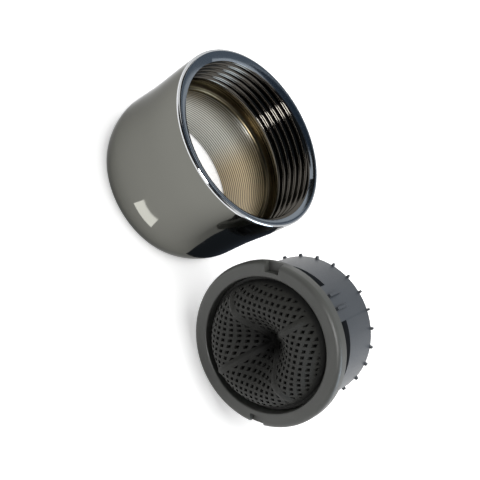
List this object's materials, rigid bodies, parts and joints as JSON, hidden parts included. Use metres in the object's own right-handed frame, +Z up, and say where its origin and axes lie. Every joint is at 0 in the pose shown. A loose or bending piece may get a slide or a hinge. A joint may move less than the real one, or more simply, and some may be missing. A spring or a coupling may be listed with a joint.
{
  "type": "tap aerator",
  "caption": "Tap aerator taken apart: a threaded chromed sleeve standing on its outlet end, and the grey drop-in insert with domed strainer, air slots and outlet grid lying beside it.",
  "frame": {"origin": "on the sleeve's axis, in the plane of its outlet end, which is the plane that both pieces stand or lie on", "axes": "+Z up along the sleeve's axis towards the threaded mouth; +X towards the insert lying beside it; the insert's inlet face looks along -Y"},
  "size_m": [0.0463, 0.024, 0.0208],
  "materials": {
    "sleeve_chrome": "polished chrome plate over brass outside, turned finish in the lower bore",
    "housing_plastic": "satin moulded acetal",
    "strainer_plastic": "satin moulded acetal",
    "inner_plastic": "satin moulded acetal",
    "screen_steel": "bare stainless mesh"
  },
  "bodies": {
    "root": {"sleeve": "sleeve_chrome", "insert_housing": "housing_plastic", "strainer": "strainer_plastic", "jet_cup": "inner_plastic", "upper_screen": "screen_steel", "screen_spacer": "inner_plastic", "lower_screen": "screen_steel", "outlet_grid": "inner_plastic"}
  },
  "joints": []
}
